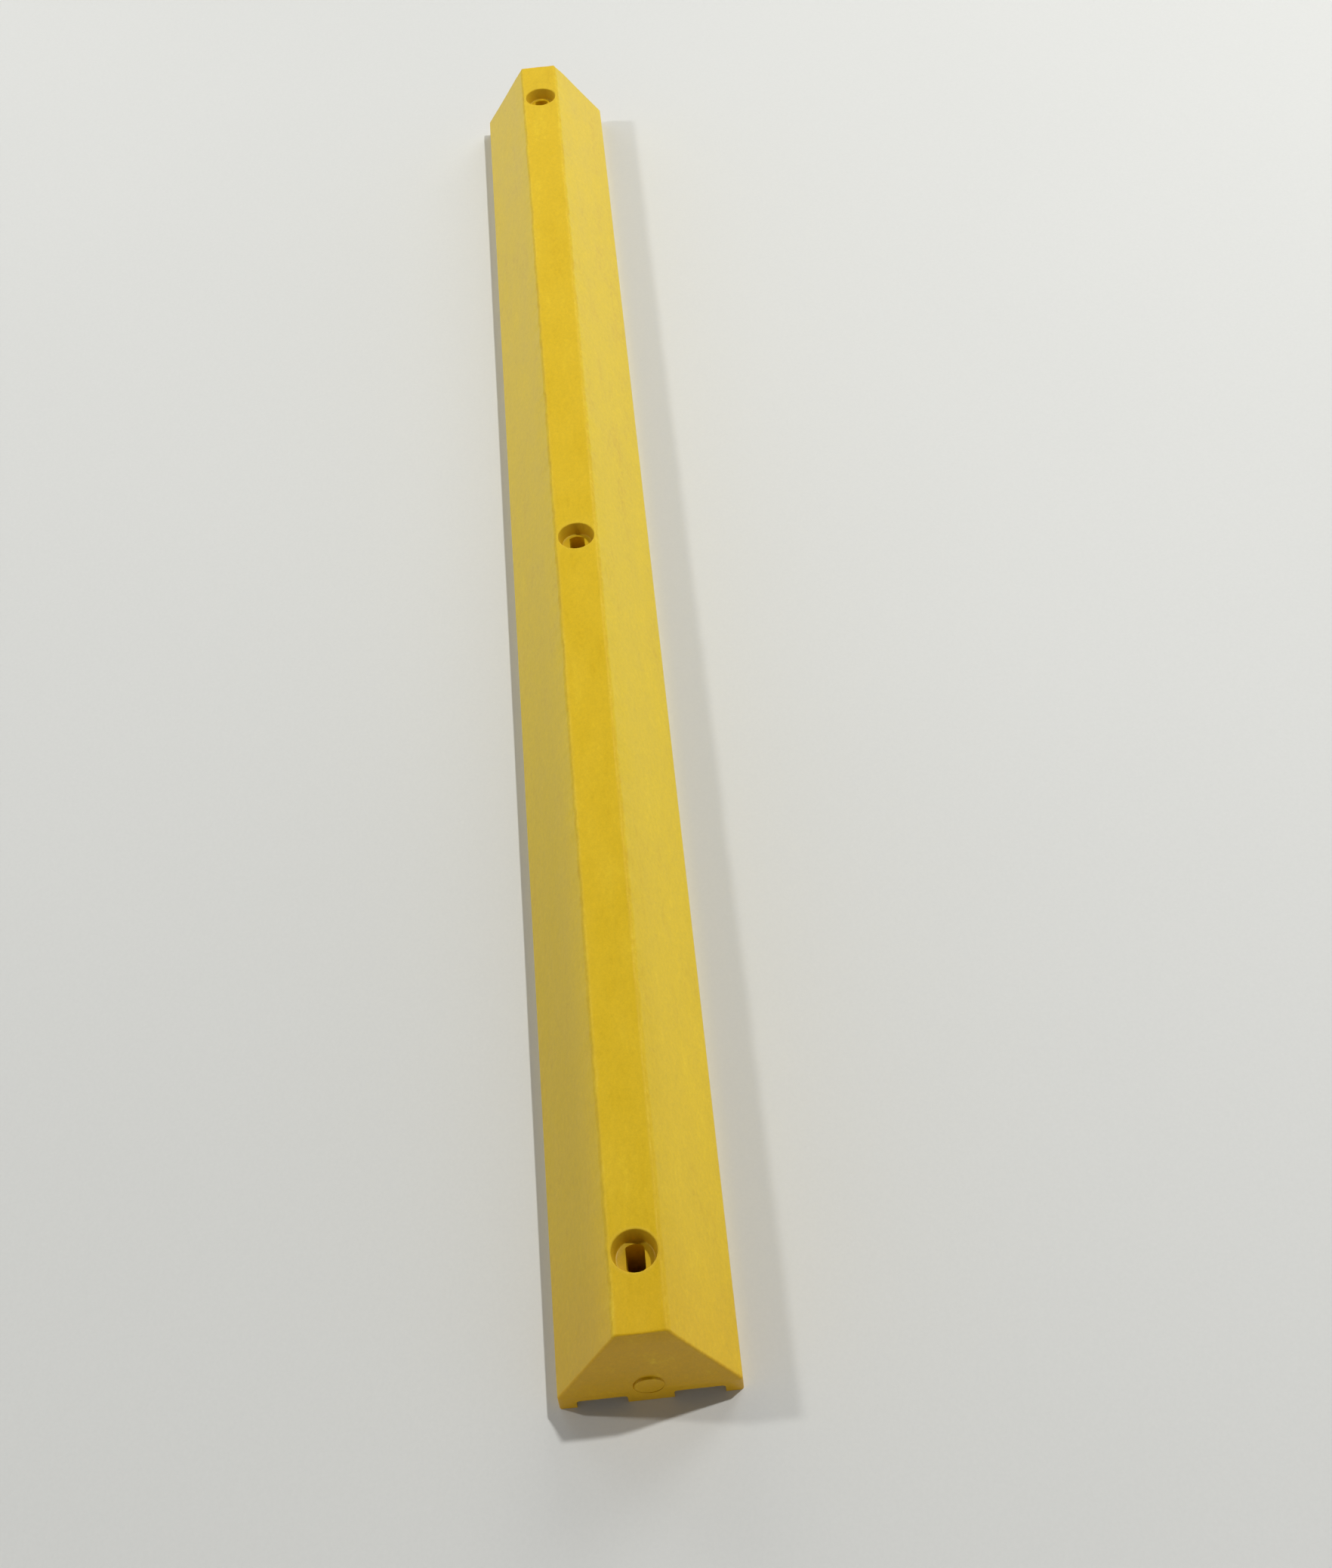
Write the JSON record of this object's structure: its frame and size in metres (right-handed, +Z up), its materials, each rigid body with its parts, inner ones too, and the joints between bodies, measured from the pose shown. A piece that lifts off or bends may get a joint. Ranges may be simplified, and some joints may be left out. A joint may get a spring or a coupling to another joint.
{
  "type": "parking wheel stop",
  "caption": "Long low parking wheel stop in solid moulded plastic: sloped sides, countersunk anchor slots along the crest, channels underneath and plugged ends.",
  "frame": {"origin": "middle of the footprint, on the ground", "axes": "+X along the stop to its front end, +Y across it, +Z up from the ground to the crest"},
  "size_m": [1.8288, 0.1524, 0.1016],
  "materials": {
    "yellow_plastic": "matte, mottled by the flow of the melt",
    "plug_plastic": "matte, cut face"
  },
  "bodies": {
    "root": {"block": "yellow_plastic", "front_end_plug": "plug_plastic", "rear_end_plug": "plug_plastic"}
  },
  "joints": []
}
